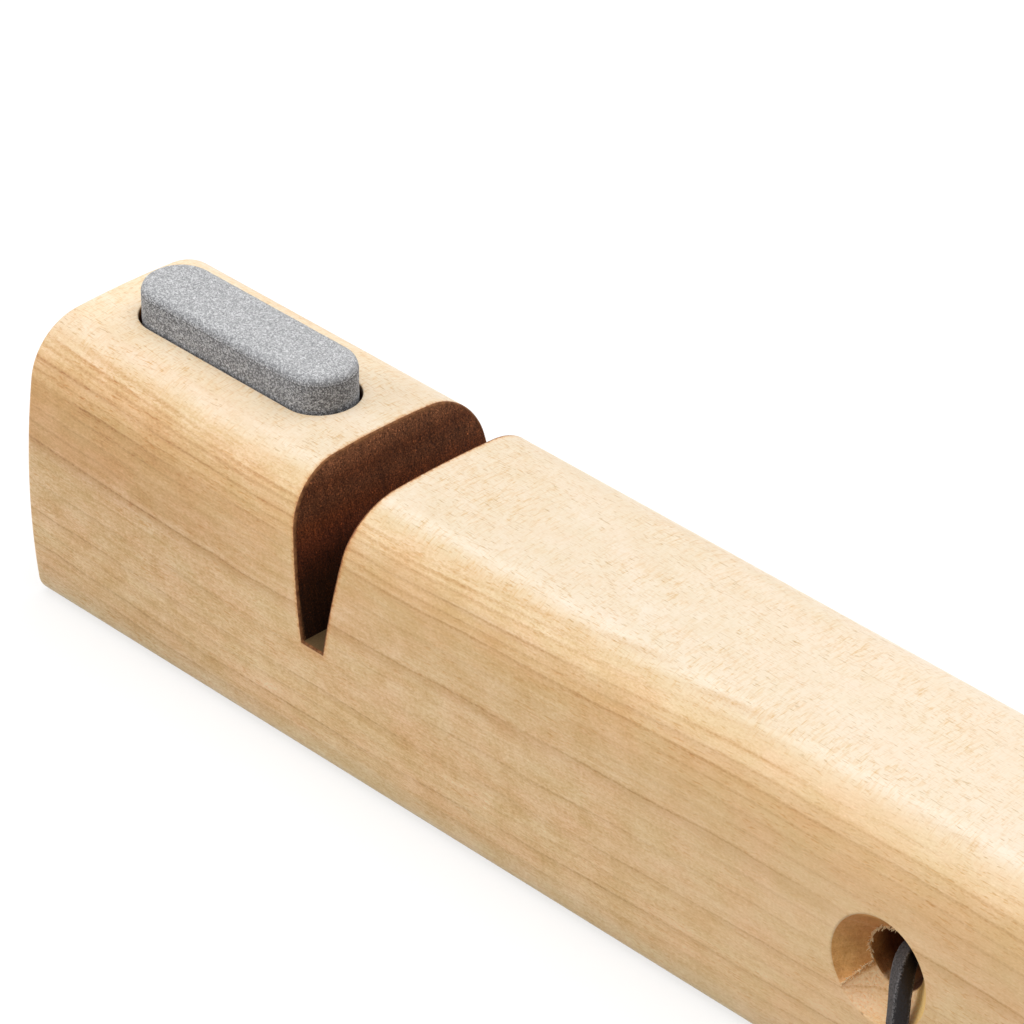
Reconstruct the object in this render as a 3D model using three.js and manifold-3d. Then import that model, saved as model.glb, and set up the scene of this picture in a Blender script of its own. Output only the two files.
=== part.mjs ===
import * as THREE from 'three';
import { mergeVertices, toCreasedNormals } from 'three/addons/utils/BufferGeometryUtils.js';
import Module from 'manifold-3d';

// A hand sharpener for axes and knives. One maple block is body and handle at once: it carries a
// whetstone in its top, crossed ceramic rods in a V slot, and a leather lace through a cross hole.
// X runs along the block from the whetstone to the lace, Y across it and Z up. The origin is under
// the block's centre, on the face it stands on. Lengths are in millimetres.

const wasm = await Module();
wasm.setup();

// Block: crowned top, round shoulders, flanks widest below mid height, small foot radius
const blockLength = 160;
const blockWidth = 31.2;
const blockHeight = 36;
const widestHeight = 14.2;
const crownRadius = 118;
const shoulderRadius = 7.8;
const flankRadius = 100;
const footRadius = 2.5;
const endEdgeRadius = 0.8;

// V slot across the block
const slotFromEnd = 49;
const slotMouthWidth = 9.7;
const slotFloorWidth = 3.2;
const slotFloorHeight = 16.4;

// Whetstone, bonded in a pocket in the top
const stoneFromEnd = 21.9;
const stoneLength = 32.4;
const stoneWidth = 8.9;
const stoneThickness = 10;
const stoneProud = 4.4;
const stoneEdgeRadius = 1.2;
const pocketSideGap = 0.3;
const pocketEndGap = 0.45;
const pocketFloorGap = 0.3;

// Ceramic rods, crossed in a V and pressed in from below
const rodDiameter = 4;
const rodLean = THREE.MathUtils.degToRad(20);
const rodSpacing = 5.5;
const rodFootHeight = 1.8;
const rodHeadHeight = 25.5;
const rodChamfer = 0.4;
const rodClearance = 0.3;
const notchAboveFloor = 3.1;

// Cross hole for the lace, countersunk at right angles on both flanks
const holeFromEnd = 26.2;
const holeHeight = 18.5;
const boreDiameter = 7.2;
const countersinkDiameter = 13.2;

// Lace
const laceDiameter = 2;
const laceJointGap = 0.3;
const laceKnotLength = 9;
const laceKnotWidth = 7.2;
const laceKnotHeight = 5.9;
const laceTailLength = 9.8;
const laceTailSpread = 3.4;
const laceTailDip = 1.9;

// How far a cutting solid runs past the face that it opens
const overrun = 4;

const blockEnd = blockLength / 2;
const slotX = slotFromEnd - blockEnd;
const stoneX = stoneFromEnd - blockEnd;
const holeX = blockEnd - holeFromEnd;
const rodRadius = rodDiameter / 2;

// Routes of the lace, as points on its centre line
const boreRoute = [
  [54.51, -10.7, 19.4],
  [54.14, -9.25, 19.4],
  [53.45, -5, 19.6],
  [53.25, 0, 19.7],
  [53.45, 5, 19.6],
  [54.14, 9.25, 19.4],
  [54.51, 10.7, 19.4],
];
const frontRoute = [
  [54.59, -11, 19.4],
  [54.77, -11.7, 19.4],
  [55.15, -12.7, 19.25],
  [55.75, -13.8, 18.65],
  [56.5, -14.95, 17.4],
  [57.25, -16, 15.2],
  [57.8, -16.85, 12.6],
  [58.05, -17.05, 9.8],
  [58.1, -17.1, 8],
  [58.5, -17.1, 5.4],
  [59.9, -17.1, 3.1],
  [62.2, -17.1, 1.7],
  [65.6, -17.1, 1.3],
  [71, -17, 1.3],
  [79, -16.1, 1.3],
  [90, -12.9, 1.3],
  [101, -8, 1.3],
  [111, -3.8, 1.6],
  [116, -2.2, 2.1],
  [119, -1.7, 2.6],
];
const backRoute = [
  [54.59, 11, 19.4],
  [54.77, 11.7, 19.4],
  [55.02, 12.7, 19.25],
  [55.3, 13.8, 18.65],
  [55.6, 14.95, 17.4],
  [55.95, 16, 15.2],
  [56.25, 16.85, 12.6],
  [56.35, 17.05, 9.8],
  [56.4, 17.1, 8],
  [56.8, 17.15, 5.4],
  [58.2, 17.2, 3.1],
  [60.5, 17.25, 1.7],
  [63.9, 17.4, 1.3],
  [70, 18, 1.3],
  [79, 18.1, 1.3],
  [90, 15.4, 1.3],
  [101, 9.6, 1.3],
  [111, 4.4, 1.6],
  [116, 2.4, 2.1],
  [119, 1.7, 2.6],
];

const maple = new THREE.MeshStandardMaterial({ color: 0xe2bf8f, roughness: 0.62, metalness: 0 });
const grit = new THREE.MeshStandardMaterial({ color: 0x8e9094, roughness: 0.95, metalness: 0 });
const ceramic = new THREE.MeshStandardMaterial({ color: 0xf1eee6, roughness: 0.45, metalness: 0 });
const leather = new THREE.MeshStandardMaterial({ color: 0x2d2b31, roughness: 0.7, metalness: 0 });

// Closed geometry to a solid for cutting and joining
function toSolid(geometry) {
  const bare = geometry.clone();
  bare.deleteAttribute('normal');
  bare.deleteAttribute('uv');
  const welded = mergeVertices(bare);
  const index = welded.index.array;
  const triangles = [];
  for (let i = 0; i < index.length; i += 3) {
    const [a, b, c] = index.slice(i, i + 3);
    if (a !== b && b !== c && c !== a) triangles.push(a, b, c);
  }
  const mesh = new wasm.Mesh({
    numProp: 3,
    vertProperties: new Float32Array(welded.attributes.position.array),
    triVerts: new Uint32Array(triangles),
  });
  return new wasm.Manifold(mesh);
}

function toGeometry(solid) {
  const mesh = solid.getMesh();
  const geometry = new THREE.BufferGeometry();
  geometry.setAttribute('position', new THREE.BufferAttribute(mesh.vertProperties, 3));
  geometry.setIndex(new THREE.BufferAttribute(mesh.triVerts, 1));
  return toCreasedNormals(geometry, THREE.MathUtils.degToRad(25));
}

// Turns an extruded outline so that its own x, y and depth lie along the given directions
function orient(geometry, xAxis, yAxis) {
  const depthAxis = xAxis.clone().cross(yAxis);
  return geometry.applyMatrix4(new THREE.Matrix4().makeBasis(xAxis, yAxis, depthAxis));
}

const alongX = new THREE.Vector3(1, 0, 0);
const alongY = new THREE.Vector3(0, 1, 0);
const alongZ = new THREE.Vector3(0, 0, 1);

// Centre of the arc that touches two larger arcs from inside: it lies at the given reach from each
// of their centres, on the outer side of the line between them.
function innerTangentCentre(first, firstReach, second, secondReach) {
  const line = second.clone().sub(first);
  const span = line.length();
  const along = (firstReach ** 2 - secondReach ** 2 + span ** 2) / (2 * span);
  const across = Math.sqrt(firstReach ** 2 - along ** 2);
  line.normalize();
  const outward = new THREE.Vector2(line.y, -line.x);
  return first.clone().addScaledVector(line, along).addScaledVector(outward, across);
}

const crownCentre = new THREE.Vector2(0, blockHeight - crownRadius);
const flankCentre = new THREE.Vector2(blockWidth / 2 - flankRadius, widestHeight);
const shoulderCentre = innerTangentCentre(
  crownCentre, crownRadius - shoulderRadius, flankCentre, flankRadius - shoulderRadius);
const footReach = flankRadius - footRadius;
const footOffset = Math.sqrt(footReach ** 2 - (widestHeight - footRadius) ** 2);
const footCentre = new THREE.Vector2(flankCentre.x + footOffset, footRadius);

function flankAt(height) {
  return flankCentre.x + Math.sqrt(flankRadius ** 2 - (height - widestHeight) ** 2);
}

// Section across the block, from the foot on one side over the crown to the other foot
function blockSection() {
  const footTurn = footCentre.clone().sub(flankCentre).angle() - 2 * Math.PI;
  const shoulderTurn = shoulderCentre.clone().sub(flankCentre).angle();
  const crownTurn = shoulderCentre.clone().sub(crownCentre).angle();
  const rightArcs = [
    { centre: footCentre, radius: footRadius, from: -Math.PI / 2, to: footTurn },
    { centre: flankCentre, radius: flankRadius, from: footTurn, to: shoulderTurn },
    { centre: shoulderCentre, radius: shoulderRadius, from: shoulderTurn, to: crownTurn },
    { centre: crownCentre, radius: crownRadius, from: crownTurn, to: Math.PI / 2 },
  ];
  const leftArcs = rightArcs.toReversed().map(({ centre, radius, from, to }) => ({
    centre: new THREE.Vector2(-centre.x, centre.y),
    radius,
    from: Math.PI - to,
    to: Math.PI - from,
  }));
  const section = new THREE.Shape();
  for (const { centre, radius, from, to } of [...rightArcs, ...leftArcs]) {
    section.absarc(centre.x, centre.y, radius, from, to, false);
  }
  section.closePath();
  return section;
}

// A slab of an outline whose rims are rounded over at both faces
function roundedSlab(outline, thickness, rimRadius, curveSegments) {
  const core = thickness - 2 * rimRadius;
  const slab = new THREE.ExtrudeGeometry(outline, {
    depth: core,
    curveSegments,
    bevelThickness: rimRadius,
    bevelSize: rimRadius,
    bevelOffset: -rimRadius,
    bevelSegments: 3,
  });
  return slab.translate(0, 0, -core / 2);
}

function stadium(length, width) {
  const radius = width / 2;
  const reach = length / 2 - radius;
  const outline = new THREE.Shape();
  outline.absarc(reach, 0, radius, -Math.PI / 2, Math.PI / 2, false);
  outline.absarc(-reach, 0, radius, Math.PI / 2, 1.5 * Math.PI, false);
  outline.closePath();
  return outline;
}

// The V slot's walls go on at their own slope past the block's top
function slotCutter() {
  const depth = blockHeight - slotFloorHeight;
  const slope = (slotMouthWidth - slotFloorWidth) / 2 / depth;
  const topHalf = slotMouthWidth / 2 + overrun * slope;
  const floorHalf = slotFloorWidth / 2;
  const outline = new THREE.Shape([
    new THREE.Vector2(-floorHalf, slotFloorHeight),
    new THREE.Vector2(floorHalf, slotFloorHeight),
    new THREE.Vector2(topHalf, blockHeight + overrun),
    new THREE.Vector2(-topHalf, blockHeight + overrun),
  ]);
  const width = blockWidth + 2 * overrun;
  const prism = new THREE.ExtrudeGeometry(outline, { depth: width, bevelEnabled: false });
  prism.translate(0, 0, -width / 2);
  return orient(prism, alongX, alongZ).translate(slotX, 0, 0);
}

function pocketCutter() {
  const outline = stadium(stoneLength + 2 * pocketEndGap, stoneWidth + 2 * pocketSideGap);
  const floor = blockHeight + stoneProud - stoneThickness - pocketFloorGap;
  const depth = blockHeight + overrun - floor;
  const prism = new THREE.ExtrudeGeometry(outline, { depth, curveSegments: 8, bevelEnabled: false });
  return prism.translate(stoneX, 0, floor);
}

// Bore and both countersinks as one turned solid. Each cone goes on past the flank at its own slope.
function holeCutter() {
  const boreRadius = boreDiameter / 2;
  const coneRadius = countersinkDiameter / 2 + overrun;
  const faceReach = flankAt(holeHeight) + overrun;
  const coneRoot = faceReach - (coneRadius - boreRadius);
  const profile = [
    new THREE.Vector2(0, -faceReach),
    new THREE.Vector2(coneRadius, -faceReach),
    new THREE.Vector2(boreRadius, -coneRoot),
    new THREE.Vector2(boreRadius, coneRoot),
    new THREE.Vector2(coneRadius, faceReach),
    new THREE.Vector2(0, faceReach),
  ];
  return new THREE.LatheGeometry(profile, 40).translate(holeX, 0, holeHeight);
}

// The rods' axes cross below the floor, so that the notch between their upper sides stands above it
const crossingHeight = slotFloorHeight + notchAboveFloor - rodRadius / Math.sin(rodLean);

// Side is -1 for the rod that leans to the whetstone and 1 for the other
function rodDirection(side) {
  return new THREE.Vector3(side * Math.sin(rodLean), 0, Math.cos(rodLean));
}

function rodPointAt(side, height) {
  const shift = (height - crossingHeight) * Math.tan(rodLean);
  return new THREE.Vector3(slotX + side * shift, side * rodSpacing / 2, height);
}

// A turned bar between two heights on a rod's axis, with its ends chamfered
function turnedBar(side, low, high, radius, chamfer) {
  const foot = rodPointAt(side, low);
  const head = rodPointAt(side, high);
  const half = foot.distanceTo(head) / 2;
  const profile = [
    new THREE.Vector2(0, -half),
    new THREE.Vector2(radius - chamfer, -half),
    new THREE.Vector2(radius, chamfer - half),
    new THREE.Vector2(radius, half - chamfer),
    new THREE.Vector2(radius - chamfer, half),
    new THREE.Vector2(0, half),
  ];
  const turn = new THREE.Quaternion().setFromUnitVectors(alongY, rodDirection(side));
  const centre = foot.add(head).multiplyScalar(0.5);
  return new THREE.LatheGeometry(profile, 24).applyQuaternion(turn).translate(centre.x, centre.y, centre.z);
}

function rodBoreCutter(side) {
  const radius = rodRadius + rodClearance;
  return turnedBar(side, -overrun, rodHeadHeight + rodClearance, radius, rodChamfer);
}

function block() {
  const stock = orient(roundedSlab(blockSection(), blockLength, endEdgeRadius, 6), alongY, alongZ);
  const cutters = [slotCutter(), pocketCutter(), holeCutter(), rodBoreCutter(-1), rodBoreCutter(1)];
  const solid = cutters.reduce((rest, cutter) => rest.subtract(toSolid(cutter)), toSolid(stock));
  return toGeometry(solid);
}

function whetstone() {
  const slab = roundedSlab(stadium(stoneLength, stoneWidth), stoneThickness, stoneEdgeRadius, 10);
  return slab.translate(stoneX, 0, blockHeight + stoneProud - stoneThickness / 2);
}

// The lace's stretches, as eight-sided tubes
function tube(points, steps) {
  const radius = laceDiameter / 2;
  const section = new THREE.Shape();
  for (let side = 0; side < 8; side += 1) {
    const angle = (side + 0.5) * Math.PI / 4;
    const corner = new THREE.Vector2(Math.cos(angle), Math.sin(angle)).multiplyScalar(radius);
    if (side === 0) section.moveTo(corner.x, corner.y);
    else section.lineTo(corner.x, corner.y);
  }
  section.closePath();
  const extrudePath = new THREE.CatmullRomCurve3(points);
  return new THREE.ExtrudeGeometry(section, { steps, extrudePath, bevelEnabled: false });
}

function laceStretch(route, steps) {
  return tube(route.map((point) => new THREE.Vector3(...point)), steps);
}

// Overhand knot of both strands, with the two cut tails
function laceKnot() {
  const meet = frontRoute.at(-1);
  const start = meet[0] + laceJointGap;
  const height = laceKnotHeight / 2 + laceJointGap;
  const middle = start + laceKnotLength / 2;
  const ball = new THREE.SphereGeometry(1, 20, 14);
  ball.scale(laceKnotLength / 2, laceKnotWidth / 2, laceKnotHeight / 2).translate(middle, 0, height);
  const tails = [-1, 1].map((side) => {
    const end = start + laceKnotLength + laceTailLength;
    const bend = start + laceKnotLength;
    return tube([
      new THREE.Vector3(middle, side * laceDiameter / 2, height),
      new THREE.Vector3(bend, side * laceDiameter, height - laceTailDip / 2),
      new THREE.Vector3(end, side * laceTailSpread, height - laceTailDip),
    ], 8);
  });
  return toGeometry(tails.reduce((rest, tail) => rest.add(toSolid(tail)), toSolid(ball)));
}

const sharpener = new THREE.Group();
sharpener.name = 'axe_and_knife_sharpener';

function add(name, geometry, material) {
  const mesh = new THREE.Mesh(geometry, material);
  mesh.name = name;
  sharpener.add(mesh);
}

add('block', block(), maple);
add('whetstone', whetstone(), grit);
add('rod_left', turnedBar(-1, rodFootHeight, rodHeadHeight, rodRadius, rodChamfer), ceramic);
add('rod_right', turnedBar(1, rodFootHeight, rodHeadHeight, rodRadius, rodChamfer), ceramic);
add('lace_in_bore', laceStretch(boreRoute, 8), leather);
add('lace_front', laceStretch(frontRoute, 40), leather);
add('lace_back', laceStretch(backRoute, 40), leather);
add('lace_knot', laceKnot(), leather);

export default sharpener;
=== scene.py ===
import math
import bpy
import bmesh
from mathutils import Matrix, Vector


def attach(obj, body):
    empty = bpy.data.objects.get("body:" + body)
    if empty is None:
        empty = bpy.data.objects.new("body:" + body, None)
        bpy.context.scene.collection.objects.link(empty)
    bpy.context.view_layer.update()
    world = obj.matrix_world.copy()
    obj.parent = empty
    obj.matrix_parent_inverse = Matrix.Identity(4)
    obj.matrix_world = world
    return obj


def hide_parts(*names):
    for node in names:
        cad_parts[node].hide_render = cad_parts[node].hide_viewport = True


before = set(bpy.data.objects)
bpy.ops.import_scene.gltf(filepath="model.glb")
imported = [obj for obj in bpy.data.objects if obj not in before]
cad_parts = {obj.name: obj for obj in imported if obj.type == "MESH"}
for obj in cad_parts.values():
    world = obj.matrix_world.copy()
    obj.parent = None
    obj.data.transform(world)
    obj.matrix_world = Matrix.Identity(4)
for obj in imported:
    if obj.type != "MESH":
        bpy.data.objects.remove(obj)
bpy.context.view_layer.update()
scene = bpy.context.scene
mm = 0.001

# Hand sharpener for axes and knives: a maple block with a whetstone, crossed ceramic rods in a
# V slot and a leather lace. X runs along the block to the lace, Y away from the viewer, Z up.
# Sizes are in mm and angles in degrees unless a line says otherwise. The studio is in metres.


def addObject(name, data):
    thing = bpy.data.objects.new(name, data)
    scene.collection.objects.link(thing)
    return thing


# Camera, fitted to the outlines of the block, the slot, the stone and the hole
view = {
    "target": (-15.457, 0, 34.432),
    "azimuth": 46.051,
    "elevation": 32.928,
    "distance": 617.09,
    "lens": 200.28,
    "sensor": 36,
    "clip": (0.01, 20),  # metres
}


def addCamera(v):
    turn, lift = math.radians(v["azimuth"]), math.radians(v["elevation"])
    back = Vector((math.sin(turn) * math.cos(lift), -math.cos(turn) * math.cos(lift), math.sin(lift)))
    data = bpy.data.cameras.new("photoCamera")
    data.lens, data.sensor_width, data.sensor_fit = v["lens"], v["sensor"], "HORIZONTAL"
    data.clip_start, data.clip_end = v["clip"]
    camera = addObject("photoCamera", data)
    camera.location = (Vector(v["target"]) + back * v["distance"]) * mm
    camera.rotation_euler = back.to_track_quat("Z", "Y").to_euler()
    scene.camera = camera


addCamera(view)
print("camera set")


# A node's output to reckon with: + - * / and abs() add a Math node to its tree, and ["X"] gives one part
# of a vector
class Value:
    def __init__(self, socket):
        self.socket, self.tree, self.parts = socket, socket.id_data, None

    def __getitem__(self, axis):
        self.parts = self.parts or put(self.tree, "ShaderNodeSeparateXYZ", {"Vector": self})
        return Value(self.parts.outputs[axis])

    def __add__(self, other):
        return calc("ADD", self, other)

    def __sub__(self, other):
        return calc("SUBTRACT", self, other)

    def __rsub__(self, other):
        return calc("SUBTRACT", other, self)

    def __mul__(self, other):
        return calc("MULTIPLY", self, other)

    def __truediv__(self, other):
        return calc("DIVIDE", self, other)

    def __rtruediv__(self, other):
        return calc("DIVIDE", other, self)

    def __abs__(self):
        return calc("ABSOLUTE", self)


# Links an output to a socket, or sets a plain value there
def feed(socket, value):
    if isinstance(value, Value):
        value.tree.links.new(value.socket, socket)
    else:
        socket.default_value = value


# Adds a node with its settings and inputs, which go by name or number
def put(tree, kind, inputs=None, **settings):
    node = tree.nodes.new(kind)
    for name, value in settings.items():
        setattr(node, name, value)
    for name, value in (inputs or {}).items():
        feed(node.inputs[name], value)
    return node


def outputOf(tree, kind, inputs=None, output=0, **settings):
    return Value(put(tree, kind, inputs, **settings).outputs[output])


def treeOf(values):
    return next(value.tree for value in values if isinstance(value, Value))


def nodeOf(tree, kind):
    return next(node for node in tree.nodes if node.type == kind)


def calc(operation, *values):
    return outputOf(treeOf(values), "ShaderNodeMath", dict(enumerate(values)), operation=operation)


def vectorCalc(operation, *values):
    output = "Value" if operation in ("LENGTH", "DOT_PRODUCT") else "Vector"
    return outputOf(treeOf(values), "ShaderNodeVectorMath", dict(enumerate(values)), output,
                    operation=operation)


def scaled(place, factor):
    return outputOf(place.tree, "ShaderNodeVectorMath", {0: place, "Scale": factor}, operation="SCALE")


def vector(x, y, z):
    return outputOf(treeOf((x, y, z)), "ShaderNodeCombineXYZ", {"X": x, "Y": y, "Z": z})


def ramp(share, stops):
    node = put(share.tree, "ShaderNodeValToRGB", {"Fac": share})
    elements = node.color_ramp.elements
    while len(elements) < len(stops):
        elements.new(0.5)
    for element, (place, tone) in zip(elements, sorted(stops)):
        element.position = place
        element.color = (*tone, 1) if isinstance(tone, tuple) else (tone, tone, tone, 1)
    return Value(node.outputs["Color"])


# A ramp holds 32 stops, so a longer row is the sum of several
def manyStops(share, stops):
    stops = sorted(stops)
    parts = [ramp(share, stops[start:start + 30]) for start in range(0, len(stops), 30)]
    return sum(parts[1:], parts[0])


def blend(share, first, second, kind="MIX"):
    tree = treeOf((share, first, second))
    first, second = [(*value, 1) if isinstance(value, tuple) else value for value in (first, second)]
    return outputOf(tree, "ShaderNodeMix", {0: share, 6: first, 7: second}, 2,
                    data_type="RGBA", blend_type=kind, clamp_factor=True)


def tint(colour, tone, share=1.0):
    return blend(share, colour, tone, "MULTIPLY")


def span(value, low, high, lowTo=0.0, highTo=1.0, smooth=False):
    return outputOf(value.tree, "ShaderNodeMapRange", {
        "Value": value, "From Min": low, "From Max": high, "To Min": lowTo, "To Max": highTo},
        "Result", interpolation_type="SMOOTHSTEP" if smooth else "LINEAR")


# Stretch is how many grains of the pattern come to the mm, as one number or by axis
def noise(place, stretch, detail=2.0, roughness=0.5, shift=(0, 0, 0)):
    scale = stretch if isinstance(stretch, tuple) else (stretch,) * 3
    moved = outputOf(place.tree, "ShaderNodeMapping", {"Vector": place, "Location": shift, "Scale": scale})
    return outputOf(place.tree, "ShaderNodeTexNoise", {
        "Vector": moved, "Scale": 1.0, "Detail": detail, "Roughness": roughness}, "Fac")


def millimetres(tree):
    return scaled(outputOf(tree, "ShaderNodeTexCoord", output="Object"), 1000.0)


def facingOf(tree):
    return outputOf(tree, "ShaderNodeNewGeometry", output="Normal")


def newMaterial(name):
    material = bpy.data.materials.new(name)
    material.use_nodes = True
    tree = material.node_tree
    return material, tree, nodeOf(tree, "BSDF_PRINCIPLED")


# Feeds the shader, and gives it a bump: its height, its strength and its depth in metres
def finish(shader, bump, inputs):
    for name, value in inputs.items():
        feed(shader.inputs[name], value)
    height, strength, distance = bump
    feed(shader.inputs["Normal"], outputOf(height.tree, "ShaderNodeBump", {
        "Height": height, "Strength": strength, "Distance": distance}))


# Output of a geometry node
def shape(tree, kind, inputs=None, output=0, **settings):
    return outputOf(tree, "GeometryNode" + kind, inputs, output, **settings)


def named(tree, name):
    return shape(tree, "InputNamedAttribute", {"Name": name}, data_type="FLOAT_VECTOR")


def painted(geometry, material, chosen=True):
    return shape(geometry.tree, "SetMaterial", {
        "Geometry": geometry, "Selection": chosen, "Material": material})


# Values that each point of a curve keeps when the curve becomes a mesh
def capture(curve, kind, values):
    node = put(curve.tree, "GeometryNodeCaptureAttribute", {"Geometry": curve}, domain="POINT")
    for name in values:
        node.capture_items.new(kind, name)
    for name, value in values.items():
        feed(node.inputs[name], value)
    return [Value(node.outputs[name]) for name in ("Geometry", *values)]


def newTree(name, inputs):
    tree = bpy.data.node_groups.new(name, "GeometryNodeTree")
    tree.is_modifier = True
    for way in ("OUTPUT", "INPUT"):
        tree.interface.new_socket("Geometry", in_out=way, socket_type="NodeSocketGeometry")
    kinds = {int: "NodeSocketInt", float: "NodeSocketFloat", bpy.types.Material: "NodeSocketMaterial"}
    for label, value in inputs.items():
        socket = tree.interface.new_socket(label, in_out="INPUT", socket_type=kinds[type(value)])
        socket.default_value = value
    source = tree.nodes.new("NodeGroupInput")
    tree.nodes.new("NodeGroupOutput")
    return tree, {socket.name: Value(socket) for socket in source.outputs}


def closeTree(tree, geometry):
    feed(nodeOf(tree, "GROUP_OUTPUT").inputs[0], shape(tree, "RealizeInstances", {"Geometry": geometry}))
    return tree


# Runs a tree on a start mesh and hands back the result as a plain mesh object
def grow(name, startMesh, tree, inputs):
    seed = addObject(name + ".seed", startMesh)
    modifier = seed.modifiers.new("grow", "NODES")
    modifier.node_group = tree
    for item in tree.interface.items_tree:
        if item.in_out == "INPUT" and item.name in inputs:
            modifier[item.identifier] = inputs[item.name]
    return settle(name, seed)


# The evaluated object as a plain mesh; the object that carried the modifiers goes
def settle(name, source):
    depsgraph = bpy.context.evaluated_depsgraph_get()
    mesh = bpy.data.meshes.new_from_object(source.evaluated_get(depsgraph), depsgraph=depsgraph)
    bpy.data.objects.remove(source)
    mesh.name = name
    return addObject(name, mesh)


# Mesh of lines, one for each run of points
def lineMesh(name, runs, closed=False):
    points, edges = [], []
    for run in runs:
        first, count = len(points), len(run)
        edges += [(first + i, first + (i + 1) % count) for i in range(count if closed else count - 1)]
        points += run
    mesh = bpy.data.meshes.new(name)
    mesh.from_pydata(points, edges, [])
    return mesh


def storeVectors(mesh, name, vectors):
    attribute = mesh.attributes.new(name, "FLOAT_VECTOR", "POINT")
    for item, value in zip(attribute.data, vectors):
        item.vector = value


def smoothShade(mesh, angle):
    for polygon in mesh.polygons:
        polygon.use_smooth = True
    mesh.set_sharp_from_angle(angle=math.radians(angle))


# Turns a closed mesh outwards if its volume comes out negative
def faceOutwards(mesh):
    form = bmesh.new()
    form.from_mesh(mesh)
    if form.calc_volume(signed=True) < 0:
        bmesh.ops.reverse_faces(form, faces=form.faces)
    form.to_mesh(mesh)
    form.free()


def meshFrom(name, form):
    mesh = bpy.data.meshes.new(name)
    form.to_mesh(mesh)
    form.free()
    return mesh


def joinPieces(name, parts):
    form = bmesh.new()
    for part in parts:
        form.from_mesh(part.data)
    mesh = meshFrom(name, form)
    for material in parts[0].data.materials:
        mesh.materials.append(material)
    for part in parts:
        bpy.data.objects.remove(part)
    return addObject(name, mesh)


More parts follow.
